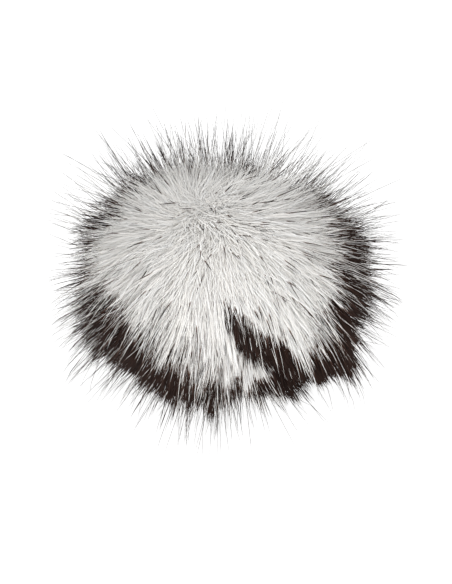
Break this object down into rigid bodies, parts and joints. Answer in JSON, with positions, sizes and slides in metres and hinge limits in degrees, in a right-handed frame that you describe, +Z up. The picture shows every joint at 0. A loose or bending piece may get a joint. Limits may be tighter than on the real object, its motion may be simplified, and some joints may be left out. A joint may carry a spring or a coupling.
{
  "type": "faux fur pom pom",
  "caption": "Fluffy ball of long-pile faux fur, white with dark brown tips, flat underneath where it rests or is fastened to a hat, bag or key ring.",
  "frame": {"origin": "on the surface it rests on, under the middle of the ball with its locks", "axes": "+Z up to the crown of the pile, -Y towards the front with the parting, +X to its right as seen from the front"},
  "size_m": [0.1458, 0.1452, 0.0915],
  "materials": {
    "fur_pile": "long soft faux-fur pile, off-white with dark brown to black tips"
  },
  "bodies": {
    "root": {"fur_ball": "fur_pile"}
  },
  "joints": []
}
